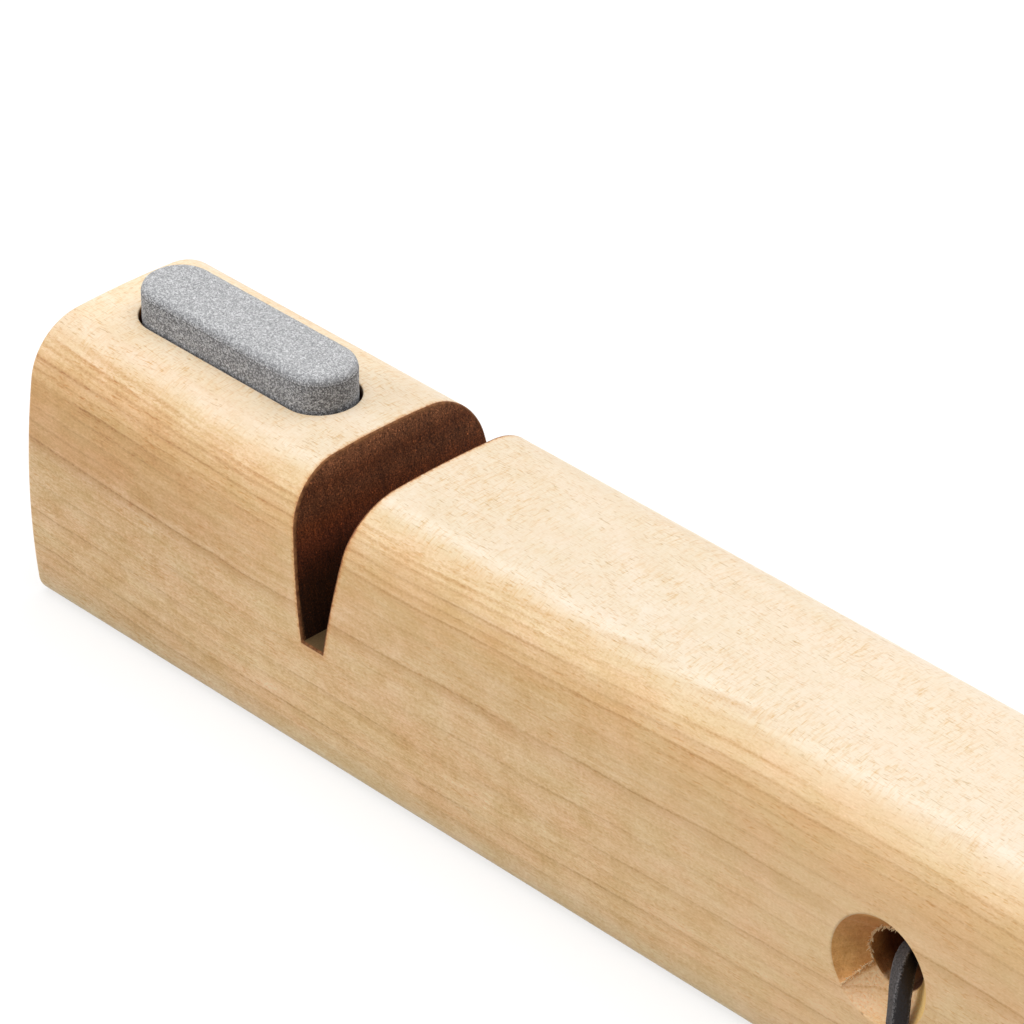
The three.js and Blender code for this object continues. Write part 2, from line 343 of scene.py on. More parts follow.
# Leather lace: one square-cut strip through the hole, tied in a knot behind the block. A twist is a row
# of (share of the length, degrees).
lace = {
    "side": 1.96, "corner": 0.28, "cornerSteps": 3, "knotSide": 1.75,
    "wander": 0.1, "wanderGrain": 900.0,  # how far the surface strays, and how finely, per metre
    "spacing": 0.45, "joint": 0.3, "aboveTable": 0.01,
    "skin": ((0.005, 0.0035, 0.004), (0.015, 0.011, 0.013)),
    "cut": ((0.030, 0.026, 0.026), (0.120, 0.108, 0.106)),
    "frayed": (0.24, 0.225, 0.225), "frayedShare": 0.55,
    "fuzz": (4.5, 3, 0.65), "grain": (3.2, 2, 0.5),
    "skinRoughness": 0.42, "cutRoughness": 0.85,
    "boreTwist": ((0, 20), (1, -20)),
    "frontTwist": ((0, 20), (0.07, 58), (0.2, 64), (0.34, 0), (1, 0)),
    "backTwist": ((0, -20), (0.07, -58), (0.2, -64), (0.34, 0), (1, 0)),
    "bore": [(54.51, -10.7, 19.4), (54.14, -9.25, 19.4), (53.45, -5, 19.6), (53.25, 0, 19.7),
             (53.45, 5, 19.6), (54.14, 9.25, 19.4), (54.51, 10.7, 19.4)],
    "front": [(54.59, -11, 19.4), (54.77, -11.7, 19.4), (55.15, -12.7, 19.25), (55.75, -13.8, 18.65),
              (56.5, -14.95, 17.4), (57.25, -16, 15.2), (57.8, -16.85, 12.6), (58.05, -17.05, 9.8),
              (58.1, -17.1, 8), (58.5, -17.1, 5.4), (59.9, -17.1, 3.1), (62.2, -17.1, 1.7),
              (65.6, -17.1, 1.3), (71, -17, 1.3), (79, -16.1, 1.3), (90, -12.9, 1.3),
              (101, -8, 1.3), (111, -3.8, 1.6), (116, -2.2, 2.1), (119, -1.7, 2.6)],
    "back": [(54.59, 11, 19.4), (54.77, 11.7, 19.4), (55.02, 12.7, 19.25), (55.3, 13.8, 18.65),
             (55.6, 14.95, 17.4), (55.95, 16, 15.2), (56.25, 16.85, 12.6), (56.35, 17.05, 9.8),
             (56.4, 17.1, 8), (56.8, 17.15, 5.4), (58.2, 17.2, 3.1), (60.5, 17.25, 1.7),
             (63.9, 17.4, 1.3), (70, 18, 1.3), (79, 18.1, 1.3), (90, 15.4, 1.3),
             (101, 9.6, 1.3), (111, 4.4, 1.6), (116, 2.4, 2.1), (119, 1.7, 2.6)],
    "knotFront": [(118.7, -1.75, 2.55), (119.7, -1.27, 2.86), (121.16, -0.74, 3.18), (122.23, -1.16, 3.03),
                  (123.23, -1.67, 2.73), (124.16, -2, 2.15), (124.94, -1.66, 1.41), (125.24, -0.66, 0.99),
                  (125, 0.45, 1.14), (124.56, 1.44, 1.57), (124.04, 2.11, 2.34), (123.55, 2.08, 3.37),
                  (123.11, 1.63, 4.35), (122.56, 0.91, 5.04), (121.93, -0.05, 5.09), (121.38, -1, 4.71),
                  (120.92, -1.8, 4.03), (120.74, -2.01, 2.94), (121, -1.43, 2.01), (121.66, -0.52, 1.8),
                  (122.48, 0.23, 2.09), (123.46, 0.68, 2.53), (124.55, 0.9, 2.86), (125.69, 1.11, 2.88),
                  (126.84, 1.23, 2.79), (128.34, 1.58, 2.17), (130.04, 2.25, 1.36), (132.04, 2.82, 1),
                  (134.64, 3.33, 1), (137.24, 3.5, 1)],
    "knotBack": [(118.7, 1.75, 2.55), (119.7, 1.27, 3.05), (121.19, 0.75, 3.81), (122.3, 0.39, 3.78),
                 (123.29, -0.23, 3.86), (124.2, -0.97, 3.83), (125.05, -1.69, 3.51), (126.04, -1.85, 2.95),
                 (127.02, -1.3, 2.73), (127.6, -0.43, 3.17), (127.44, 0.16, 4.12), (126.65, 0.09, 4.94),
                 (125.71, -0.49, 5.28), (124.83, -1.26, 5.3), (123.97, -1.97, 4.97), (123.23, -2.49, 4.24),
                 (122.59, -2.84, 3.32), (122.31, -2.67, 2.23), (122.66, -1.9, 1.49), (123.41, -1.03, 1.51),
                 (124.32, -0.63, 2.09), (125.27, -0.51, 2.76), (126.08, -0.66, 3.58), (126.96, -1.15, 4.15),
                 (128.46, -1.52, 3.05), (130.16, -2.22, 1.63), (132.16, -2.81, 1), (134.76, -3.33, 1),
                 (137.36, -3.5, 1)],
}


# Point on the rounded curve between the start and the end of one stretch of a route
def routePoint(before, start, end, after, share):
    knots = [0.0]
    for a, b in ((before, start), (start, end), (end, after)):
        knots.append(knots[-1] + max((b - a).length, 1e-6) ** 0.5)
    t = knots[1] + share * (knots[2] - knots[1])

    def between(a, b, low, high):
        return a * ((high - t) / (high - low)) + b * ((t - low) / (high - low))
    first = between(before, start, knots[0], knots[1])
    second = between(start, end, knots[1], knots[2])
    third = between(end, after, knots[2], knots[3])
    return between(between(first, second, knots[0], knots[2]),
                   between(second, third, knots[1], knots[3]), knots[1], knots[2])


# Smooth curve through a route, at an even spacing
def alongRoute(route, spacing, fineSteps=24):
    points = [Vector(point) for point in route]
    points = [points[0] * 2 - points[1]] + points + [points[-1] * 2 - points[-2]]
    fine = []
    for i in range(1, len(points) - 2):
        fine += [routePoint(*points[i - 1:i + 3], step / fineSteps) for step in range(fineSteps)]
    fine.append(points[-2])
    reach = [0.0]
    for a, b in zip(fine, fine[1:]):
        reach.append(reach[-1] + (b - a).length)
    count = max(2, round(reach[-1] / spacing))
    even, at = [], 0
    for i in range(count + 1):
        want = reach[-1] * i / count
        while at < len(reach) - 2 and reach[at + 1] < want:
            at += 1
        share = (want - reach[at]) / max(reach[at + 1] - reach[at], 1e-9)
        even.append(fine[at].lerp(fine[at + 1], share))
    return even


# Direction of the strip's upper face at each point: upright at first, carried along, then twisted
def carryNormal(points, twist):
    normal, normals = Vector((0, 0, 1)), []
    for i in range(len(points)):
        ahead = (points[min(i + 1, len(points) - 1)] - points[max(i - 1, 0)]).normalized()
        normal = (normal - ahead * normal.dot(ahead)).normalized()
        share = i / (len(points) - 1)
        turned = twist[-1][1]
        for (start, low), (end, high) in zip(twist, twist[1:]):
            if start <= share <= end:
                turned = low + (high - low) * (share - start) / (end - start)
                break
        normals.append(Matrix.Rotation(math.radians(turned), 3, ahead) @ normal)
    return normals


def laceTree(inputs):
    tree, given = newTree("laceStrip", inputs)
    rail = shape(tree, "MeshToCurve", {"Mesh": given["Geometry"]})
    rail = shape(tree, "SetCurveNormal", {"Curve": rail, "Normal": named(tree, "facing")}, mode="FREE")
    rectangle = shape(tree, "CurvePrimitiveQuadrilateral", {"Width": given["Side"], "Height": given["Side"]})
    outline = shape(tree, "FilletCurve", {
        "Curve": rectangle, "Count": given["Corner Steps"], "Radius": given["Corner"]}, mode="POLY")
    outline, outlinePoint = capture(outline, "VECTOR", {"Outline Point": shape(tree, "InputPosition")})
    strip = shape(tree, "CurveToMesh", {"Curve": rail, "Profile Curve": outline, "Fill Caps": True})
    stray = outputOf(tree, "ShaderNodeTexNoise", {
        "Vector": shape(tree, "InputPosition"), "Scale": lace["wanderGrain"], "Detail": 2.0}, "Color")
    stray = scaled(vectorCalc("SUBTRACT", stray, (0.5, 0.5, 0.5)), given["Wander"])
    strip = shape(tree, "SetPosition", {"Geometry": strip, "Offset": stray})
    across = vectorCalc("DIVIDE", outlinePoint, vector(given["Side"], given["Side"], 1.0))
    strip = shape(tree, "StoreNamedAttribute", {
        "Geometry": strip, "Name": "across", "Value": across}, data_type="FLOAT_VECTOR")
    return closeTree(tree, painted(strip, given["Leather"]))


# Smooth skin above and below, fibres on the two cut faces and frayed corners. The attribute "across"
# runs from -0.5 to 0.5 over the strip's width and thickness.
def laceLeather():
    material, tree, shader = newMaterial("darkLaceLeather")
    place = millimetres(tree)
    across = outputOf(tree, "ShaderNodeAttribute", output="Vector", attribute_name="across")
    offX, offY = abs(across["X"]), abs(across["Y"])
    cutFace = span(offX - offY, -0.06, 0.06, smooth=True)
    atCorner = span(calc("MINIMUM", offX, offY), 0.30, 0.42, smooth=True)
    fuzz, grain = noise(place, *lace["fuzz"]), noise(place, *lace["grain"])
    colour = blend(cutFace, blend(grain, *lace["skin"]), blend(span(fuzz, 0.3, 0.7), *lace["cut"]))
    frayed = atCorner * span(fuzz, 0.42, 0.62) * lace["frayedShare"]
    finish(shader, (fuzz + grain, 0.6, 0.00012), {
        "Base Color": blend(frayed, colour, lace["frayed"]),
        "Specular IOR Level": 0.3,
        "Roughness": span(cutFace, 0, 1, lace["skinRoughness"], lace["cutRoughness"])})
    return material


stripInputs = {
    "Side": lace["side"] * mm, "Corner": lace["corner"] * mm, "Corner Steps": lace["cornerSteps"],
    "Wander": lace["wander"] * mm, "Leather": laceLeather()}
stripTree = laceTree(stripInputs)


def laceStrip(name, route, twist=((0, 0), (1, 0)), side=lace["side"]):
    points = [point * mm for point in alongRoute(route, lace["spacing"])]
    start = lineMesh(name + ".rail", [points])
    storeVectors(start, "facing", carryNormal(points, twist))
    piece = grow(name, start, stripTree, {**stripInputs, "Side": side * mm})
    faceOutwards(piece.data)
    smoothShade(piece.data, 50)
    return piece


# The route with both of its ends drawn out
def lengthen(route, more):
    ends = [Vector(point) for point in route]
    head = ends[0] + (ends[0] - ends[1]).normalized() * more
    tail = ends[-1] + (ends[-1] - ends[-2]).normalized() * more
    return [tuple(head)] + route[1:-1] + [tuple(tail)]


laceKnot = joinPieces("laceKnot", [
    laceStrip(name, lace[name], side=lace["knotSide"]) for name in ("knotFront", "knotBack")])
laceInBore = laceStrip("laceInBore", lengthen(lace["bore"], lace["joint"] / 2), lace["boreTwist"])
laceFront = laceStrip("laceFront", lace["front"], lace["frontTwist"])
laceBack = laceStrip("laceBack", lace["back"], lace["backTwist"])
for piece in (laceKnot, laceFront, laceBack):
    for corner in piece.data.vertices:
        corner.co.z = max(corner.co.z, lace["aboveTable"] * mm)
for piece, node in ((laceKnot, "lace_knot"), (laceInBore, "lace_in_bore"), (laceFront, "lace_front"),
                    (laceBack, "lace_back")):
    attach(piece, "root")
    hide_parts(node)
for piece, key, side in ((laceFront, "front", -1), (laceBack, "back", 1)):
    side * 0.011
    [tuple(Vector(point) * mm) for point in lace[key]]
print("lace laid")


# Maple, as one solid pattern: growth rings round a far pith below, so that the top shows their flat side.
# Tones are by height. A growth line has the height of its ring right above the pith, the depth of its
# band, and how strong the band and the thin edge over it are. Ticks have a stretch, the two levels of
# noise between which they come in, and a tint. A pattern is what noise takes after the place.
maple = {
    "pith": (6, -70),
    "drift": (1.25, 0.03452, 9.5, 0.35),  # the rings' rise and fall along X: swing, rate, middle, lift
    # the palest tones near the top are paler outer wood with painted sheen on it
    "tones": [
        (0, (0.84, 0.62, 0.35)), (1.8, (0.84, 0.61, 0.33)), (3.2, (0.85, 0.60, 0.325)),
        (4.6, (0.88, 0.585, 0.295)), (6.5, (0.91, 0.60, 0.30)), (10, (0.92, 0.62, 0.315)),
        (14, (0.895, 0.58, 0.295)), (18, (0.895, 0.605, 0.312)), (21, (0.88, 0.585, 0.305)),
        (24.5, (0.865, 0.565, 0.285)), (27, (0.86, 0.555, 0.268)), (29, (0.885, 0.57, 0.27)),
        (30.5, (0.875, 0.565, 0.27)), (31.4, (0.83, 0.54, 0.268)), (32.3, (0.85, 0.57, 0.288)),
        (33.1, (0.88, 0.615, 0.335)), (33.8, (0.87, 0.63, 0.37)), (34.4, (0.855, 0.635, 0.39)),
        (34.9, (0.87, 0.70, 0.485)), (35.3, (0.875, 0.735, 0.56)), (35.5, (0.90, 0.775, 0.615)),
        (35.65, (0.835, 0.70, 0.53)), (35.8, (0.825, 0.69, 0.525))],
    "farTones": [
        (0, (0.90, 0.89, 0.88)), (12, (0.92, 0.92, 0.90)), (18, (0.90, 0.89, 0.86)),
        (20.6, (0.90, 0.88, 0.86)), (22.3, (0.82, 0.73, 0.61)), (24.5, (0.84, 0.75, 0.63)),
        (26, (0.87, 0.79, 0.68)), (28.5, (0.86, 0.79, 0.68)), (29.9, (0.92, 0.89, 0.82)),
        (32, (0.92, 0.86, 0.77)), (33.3, (0.92, 0.86, 0.78)), (34, (1.0, 1.0, 1.02)),
        (35, (1.01, 0.98, 0.96)), (35.6, (1.01, 0.92, 0.83)), (35.8, (1.13, 1.10, 1.04))],
    "tonesHigh": 36,
    "nearTone": (1.05, 1.06, 1.09),
    "backTone": (0.96, 1.03, 1.12),
    "coolCast": (0.98, 1.0, 0.97),
    "warmCast": (1.015, 0.987, 0.98),
    "streaks": 0.30, "shoulderStreaks": 0.14, "threads": 0.24, "figure": 0.50, "fibres": 0.60,
    "shadeHue": (0.6, 1.9),  # how strongly the shading works on red and on blue, next to green
    "growthLines": [
        (35.9, 0.18, 0.10, 0.56), (35.3, 0.18, 0.12, 0.66), (34.7, 0.2, 0.14, 0.52), (33.6, 0.6, 0.16, 0.65),
        (32.5, 0.6, 0.12, 0.40), (31.35, 1.2, 0.24, 0.85), (29.9, 0.6, 0.12, 0.40), (28.2, 0.9, 0.14, 0.36),
        (26.3, 0.6, 0.08, 0.26), (24.1, 1.7, 0.28, 0.78), (21.6, 0.6, 0.06, 0.24), (18.9, 0.9, 0.12, 0.46),
        (15.0, 1.2, 0.16, 0.50), (12.6, 0.6, 0.06, 0.26), (10.2, 1.0, 0.22, 0.80), (7.6, 0.7, 0.14, 0.52)],
    "lineWidth": 0.17,
    "linesHigh": 40,
    "lineTint": (0.58, 0.40, 0.16),
    "shoulderLineTint": (0.74, 0.52, 0.25),
    "fleckTint": (0.84, 0.65, 0.40),
    "rayTint": (1.08, 1.10, 1.16),
    "ticks": [((2.4, 0.5, 0.5), 0.50, 0.64, (0.965, 0.89, 0.78)),
              ((4.2, 0.6, 0.6), 0.57, 0.67, (0.91, 0.80, 0.62))],
    "dashTint": (0.74, 0.62, 0.44),
    "endTint": (0.80, 0.68, 0.52),
    "patterns": {
        "slow": ((0.04, 0.05, 0.05), 1),
        "ripple": ((0.13, 0.2, 0.2), 2),
        "streak": ((0.025, 1.5, 1), 3, 0.62, (0, 4, 2)),
        "thread": ((0.09, 5.5, 1), 2, 0.6, (7, 1, 2)),
        "figure": ((0.22, 0.34, 0.34), 3, 0.6, (3, 8, 1)),
        "cast": ((0.14, 0.3, 0.3), 2, 0.5, (8, 2, 6)),
        "fibre": ((2.4, 4.6, 4.6), 2, 0.65),
        "lineShow": ((0.045, 0.25, 0.25), 2, 0.5, (9, 0, 5)),
        "fleckPatch": ((0.07, 0.16, 0.16), 2, 0.5, (0, 5, 5)),
        "fleck": ((0.9, 6.5, 6.5), 1, 0.5, (5, 3, 7)),
        "ray": ((1.2, 7, 7), 1, 0.5, (1, 9, 2)),
        "tickPatch": ((0.08, 0.2, 0.2), 1, 0.5, (4, 1, 1)),
        "dash": ((0.75, 5, 5), 1, 0.5, (6, 6, 1)),
    },
}


def mapleGrain():
    tree = bpy.data.node_groups.new("mapleGrain", "ShaderNodeTree")
    for label, kind in (("Color", "Color"), ("Height", "Float"), ("Gloss", "Float")):
        tree.interface.new_socket(label, in_out="OUTPUT", socket_type="NodeSocket" + kind)
    out = tree.nodes.new("NodeGroupOutput")
    place = millimetres(tree)
    x, y, z = place["X"], place["Y"], place["Z"]

    def pattern(name, at=place):
        return noise(at, *maple["patterns"][name])

    # Which ring a point lies in, as the height of that ring right above the pith
    swing, rate, middle, lift = maple["drift"]
    pithY, pithZ = maple["pith"]
    drift = calc("SINE", (x - middle) * rate) * swing + lift
    ring = vectorCalc("LENGTH", vector(0.0, y - pithY, z - pithZ)) + pithZ - drift
    slow = (pattern("slow") - 0.5) * span(z, 29, 35, 1, 0.4)
    wobble = (pattern("ripple") - 0.5) * span(z, 26, 33, 0.55, 0.16) + slow
    ring = ring + wobble
    alongRing = vector(x, ring, y * 0.06)

    # Base tone by height, palest at the top, where paler outer wood carries painted sheen, with other tones
    # towards the far end and the near end, and painted sheen towards the back
    # the level rises towards the back, so the back shoulder comes out paler: painted sheen
    level = (wobble * span(z, 34, 35.3, 0.35, 0.05) + (z + span(y, 3, 12, 0, 1.3))) / maple["tonesHigh"]
    colour, far = [ramp(level, [(height / maple["tonesHigh"], tone) for height, tone in maple[key]])
                   for key in ("tones", "farTones")]
    colour = tint(colour, far, span(x, -34, -58, smooth=True))
    colour = tint(colour, maple["nearTone"], span(x, 0, 45))
    # Painted sheen of the bright surroundings on the back shoulder
    colour = tint(colour, maple["backTone"], span(y, 10.5, 14.5))
    nearTop = span(z, 33.5, 35.2, smooth=True)
    below = span(z, 35.2, 33.5, smooth=True)
    nearShoulder = span(z, 29, 32.5, smooth=True) * span(z, 35.9, 35.3, smooth=True)

    # Streaks that follow the rings, soft figure across them, fine fibre along them
    thread, fibre = pattern("thread", alongRing), pattern("fibre")
    streaks = nearShoulder * maple["shoulderStreaks"] + maple["streaks"]
    shade = (pattern("streak", alongRing) - 0.5) * streaks + (thread - 0.5) * maple["threads"]
    shade = shade + (pattern("figure") - 0.5) * maple["figure"] + (fibre - 0.5) * maple["fibres"]
    strength = below * 0.7 + (span(z, 26, 16) * 0.3 + 0.32)
    strength = strength * span(x, 8, 42, 1, 0.54) * span(x, -36, -52, 1, 1.2)
    shade = shade * strength + 1.0
    red, blue = [calc("POWER", shade, power) for power in maple["shadeHue"]]
    colour = tint(colour, vector(red, shade, blue))
    cast = (span(pattern("cast"), 0.36, 0.64) - 0.5) * span(below, 0, 1, 0.3, 1) + 0.5
    colour = tint(colour, blend(cast, maple["coolCast"], maple["warmCast"]))

    # Growth lines: a thin dark upper edge over a soft brown band; they fade in and out
    high, thin = maple["linesHigh"], maple["lineWidth"]
    edges, bands = [], []
    for height, softness, band, edge in maple["growthLines"]:
        edges += [((height - 1.6 * thin) / high, 0.0), (height / high, edge), ((height + thin) / high, 0.0)]
        bands += [((height - softness) / high, 0.0), (height / high, band), ((height + thin) / high, 0.0)]
    show = span(pattern("lineShow"), 0.37, 0.57, 0.10, 1.0)
    edge = manyStops(ring / high, edges) * show * span(fibre, 0.3, 0.62, 1.0, 0.6)
    band = manyStops(ring / high, bands) * span(show, 0.25, 1, 0.5, 1)
    offTop = span(z, 35.75, 35.35, smooth=True)
    offTop = offTop - offTop * (span(y, 2, 6) * span(z, 32.5, 33.5))
    lineShare = calc("MAXIMUM", edge, band) * offTop * span(x, -36, -50, 1.3, 1.55)
    lineTone = blend(span(z, 31.5, 34.5), maple["lineTint"], maple["shoulderLineTint"])
    colour = tint(colour, lineTone, lineShare)

    # Short golden flecks along the grain, paler rays, and on the top faint ticks across it
    flecks = span(pattern("fleck"), 0.58, 0.70)
    fleckPatch = span(pattern("fleckPatch"), 0.36, 0.62, 0.3, 1) * span(x, -34, -46, 0.7, 1)
    colour = tint(colour, maple["fleckTint"], flecks * fleckPatch)
    colour = tint(colour, maple["rayTint"], span(pattern("ray"), 0.60, 0.72, 0, 0.8) * below)
    aroundStone = span(x, -36, -44) * span(y, -9, -5)
    tickPatch = calc("MAXIMUM", span(pattern("tickPatch"), 0.42, 0.62, 0.4, 1), aroundStone) * nearTop
    for stretch, low, high, tone in maple["ticks"]:
        colour = tint(colour, tone, span(noise(place, stretch, 2, 0.7, (2, 2, 2)), low, high) * tickPatch)
    colour = tint(colour, maple["dashTint"], span(pattern("dash"), 0.66, 0.74, 0, 0.8) * nearTop)

    # End grain takes up more oil
    endShare = span(abs(facingOf(tree)["X"]), 0.6, 0.97, 0, 0.8, smooth=True)
    feed(out.inputs["Color"], tint(colour, maple["endTint"], endShare))
    feed(out.inputs["Height"], fibre + thread * 0.6 - (lineShare * 0.5 + flecks))
    feed(out.inputs["Gloss"], fibre)
    return tree


grainGroup = mapleGrain()


def useGrain(tree):
    node = put(tree, "ShaderNodeGroup", node_tree=grainGroup)
    return [Value(node.outputs[label]) for label in ("Color", "Height", "Gloss")]


# The block's outside. Close to the slot it is warmed and singed.
oiled = {"slotWarm": (0.94, 0.76, 0.56), "slotSinge": (0.58, 0.36, 0.22), "ragged": (2.4, 2, 0.6)}


def oiledMaple():
    material, tree, shader = newMaterial("oiledMaple")
    grain, height, gloss = useGrain(tree)
    place = millimetres(tree)
    slope = (block["Slot Mouth"] - block["Slot Floor"]) / (block["Height"] - block["Slot Floor Height"]) / 2
    halfSlot = (place["Z"] - block["Slot Floor Height"]) * slope + block["Slot Floor"] / 2
    fromSlot = abs(place["X"] - block["Slot X"]) - halfSlot
    ragged = noise(place, *oiled["ragged"]) * -0.9 + fromSlot
    aboveFloor = span(place["Z"], 15.5, 17.5)
    colour = tint(grain, oiled["slotWarm"], span(ragged, 0.5, -0.3, smooth=True) * aboveFloor)
    colour = tint(colour, oiled["slotSinge"], span(ragged, 0.05, -0.35, smooth=True) * aboveFloor)
    finish(shader, (height, 0.35, 0.00008), {
        "Base Color": colour, "Roughness": span(gloss, 0.3, 0.7, 0.5, 0.64),
        "Coat Weight": 0.15, "Coat Roughness": 0.3})
    return material


# Milled faces in the pocket and the hole: browned where the cutter crossed the end grain, pale and torn
# where it ran along the grain
milled = {
    "sideGrain": (1.12, 1.14, 1.22), "sideGrainTorn": (1.07, 1.05, 1.07),
    "endGrain": (0.70, 0.49, 0.30), "endGrainPale": (0.84, 0.64, 0.42), "endGrainTorn": (0.62, 0.36, 0.22),
    "burnished": (0.76, 0.50, 0.33), "lip": (1.22, 1.30, 1.36), "litEndGrain": (1.10, 1.08, 0.80),
    # deep and shaded are painted shade
    "deep": (0.30, 0.17, 0.10), "shaded": (0.30, 0.28, 0.30),
    "tear": (2.6, 3, 0.65), "blotch": (0.7, 2, 0.5, (3, 1, 4)),
}


def drilledMaple():
    material, tree, shader = newMaterial("drilledMaple")
    grain, _, _ = useGrain(tree)
    place, facing = millimetres(tree), facingOf(tree)
    tear, blotch = noise(place, *milled["tear"]), noise(place, *milled["blotch"])
    across = abs(facing["X"]) + (tear - 0.5) * 0.10
    # Faces that look down take the darker end-grain tones too: painted shade
    endShare = calc("MAXIMUM", span(across, 0.50, 0.58, smooth=True), span(facing["Z"], -0.1, -0.5))
    sides = blend(span(tear, 0.46, 0.68), milled["sideGrain"], milled["sideGrainTorn"])
    ends = blend(span(blotch, 0.38, 0.62), milled["endGrain"], milled["endGrainPale"])
    ends = blend(span(tear, 0.56, 0.70, 0, 0.5), ends, milled["endGrainTorn"])
    # The cone's upper part, whose faces look down, gets the cutter's browning together with painted shade
    ends = blend(span(facing["Z"], -0.05, -0.45) * span(facing["X"], 0.1, 0.5), ends, milled["burnished"])
    out = abs(place["Y"])
    # Painted light: the cone is lighter towards its mouth, where more light reaches
    ends = blend(span(out, 12.9, 14.8), ends, tint(ends, milled["lip"]))
    ends = blend(span(facing["X"], -0.2, -0.5), ends, milled["litEndGrain"])
    colour = tint(grain, blend(endShare, sides, ends))

    # Painted shade: darker inside the bore, down the pocket, and on the side of the hole that is away from
    # the light
    shaded = span(out, 12.65, 12.45) * span(facing["X"], 0.0, -0.3)
    shallow = span(out, 12.65, 12.1) * span(facing["Z"], 0.1, 0.5, 0, 0.6)
    depth = calc("MAXIMUM", span(out, 12.6, 9.6, smooth=True), calc("MAXIMUM", shaded, shallow))
    inHole = depth * span(place["Z"], 29.5, 29)
    inPocket = span(place["Z"], 35.9, 34.8) * span(place["Z"], 29, 29.5)
    colour = blend(calc("MAXIMUM", inHole, inPocket), colour, tint(colour, milled["deep"]))
    finish(shader, (tear, 0.8, 0.0002), {
        "Base Color": tint(colour, milled["shaded"], shaded), "Roughness": 0.8, "Specular IOR Level": 0.3})
    return material


# Slot walls and floor, burnt dark brown by the saw, with the pores of the end grain as specks, and the
# slot's broken edges, where the scorch thins out. Tones are by height, darker deeper down: the scorch
# together with painted shade in the narrow slot.
scorch = {
    "low": 15, "high": 37,
    "tones": [(15, (0.018, 0.006, 0.002)), (22, (0.032, 0.009, 0.002)), (24.5, (0.050, 0.012, 0.003)),
              (27, (0.112, 0.028, 0.010)), (29, (0.134, 0.036, 0.011)), (31, (0.148, 0.052, 0.021)),
              (33, (0.138, 0.045, 0.017)), (34.6, (0.22, 0.086, 0.038)), (36, (0.28, 0.115, 0.052))],
    "rim": (0.34, 0.145, 0.058), "shoulder": (8.3, 7.8), "side": 15.55,
    "lightSpeck": (2.6, 2.35, 2.2), "darkSpeck": (0.38, 0.34, 0.32), "spot": (2.8, 2.7, 2.6),
    "floor": (0.135, 0.082, 0.034),
    "edge": ((0.12, 0.040, 0.013), (0.30, 0.125, 0.045)),
    "speck": (5, 2, 0.6), "streak": ((1, 2.4, 0.4), 3, 0.6, (0, 2, 0)),
    "blotch": ((1, 0.35, 0.3), 2, 0.5, (5, 1, 3)), "spots": (3.5, 1, 0.5, (1, 7, 2)), "patch": (1.6, 3, 0.6),
}


def scorchedMaple():
    material, tree, shader = newMaterial("scorchedMaple")
    place = millimetres(tree)
    z, out = place["Z"], abs(place["Y"])
    speck, streak, blotch, spots = [
        noise(place, *scorch[key]) for key in ("speck", "streak", "blotch", "spots")]
    low, high = scorch["low"], scorch["high"]
    # Darker deeper down: scorch together with painted shade
    colour = ramp(span(z, low, high),
                  [((height - low) / (high - low), tone) for height, tone in scorch["tones"]])
    light, dark = tint(colour, scorch["lightSpeck"]), tint(colour, scorch["darkSpeck"])
    colour = blend(span(speck, 0.56, 0.69, 0, 0.9), colour, light)
    colour = blend(span(speck, 0.48, 0.36, 0, 0.95), colour, dark)
    colour = tint(colour, ramp(streak, [(0.3, 0.72), (0.5, 1.0), (0.7, 1.28)]))
    colour = tint(colour, ramp(blotch, [(0.35, 0.85), (0.65, 1.15)]))

    # The scorch thins out towards the block's outline
    start, radius = scorch["shoulder"]
    share = span(out, start, start + radius)
    edge = calc("SQRT", 1.001 - share * share) * radius + (block["Height"] - radius)
    edge = out * out * (-0.5 / section["crown"]) + edge
    inside = calc("MINIMUM", edge - z, scorch["side"] - out) + (speck - 0.5) * 0.8
    colour = blend(span(inside, 0.55, 0.0, 0, 0.85), colour, scorch["rim"])
    colour = tint(colour, scorch["spot"], span(spots, 0.70, 0.76))
    colour = blend(span(facingOf(tree)["Z"], 0.7, 0.95, 0, 0.85), colour, scorch["floor"])
    finish(shader, (speck + streak, 0.6, 0.00015), {
        "Base Color": colour, "Roughness": 0.72, "Specular IOR Level": 0.14})
    return material


def scorchedEdge():
    material, tree, shader = newMaterial("scorchedEdge")
    patch = noise(millimetres(tree), *scorch["patch"])
    finish(shader, (patch, 0.4, 0.0001), {
        "Base Color": blend(span(patch, 0.35, 0.65), *scorch["edge"]),
        "Roughness": 0.7, "Specular IOR Level": 0.2})
    return material


block = {
    "Length": 160.0, "End Radius": 0.8, "End Steps": 6,
    "Slot X": -31.0, "Slot Mouth": 9.7, "Slot Floor": 3.2, "Slot Floor Height": 16.4, "Height": 36.0,
    "Pocket X": -58.1, "Pocket Length": 33.3, "Pocket Width": 9.5, "Pocket Floor": 30.1,
    "Hole X": 53.8, "Hole Height": 18.5, "Bore": 7.2, "Countersink Root": 12.5, "Countersink Reach": 20.0,
    "Rod Bore": 4.6, "Rod Lean": math.radians(20), "Rod Spacing": 5.5, "Rod Crossing": 13.652,
    "Rod Bore Top": 25.8,
}
section = {
    "width": 31.2, "height": 36, "widest": 14.2, "crown": 118, "shoulder": 7.8, "flank": 100, "foot": 2.5,
    "steps": (9, 22, 24, 5),
}


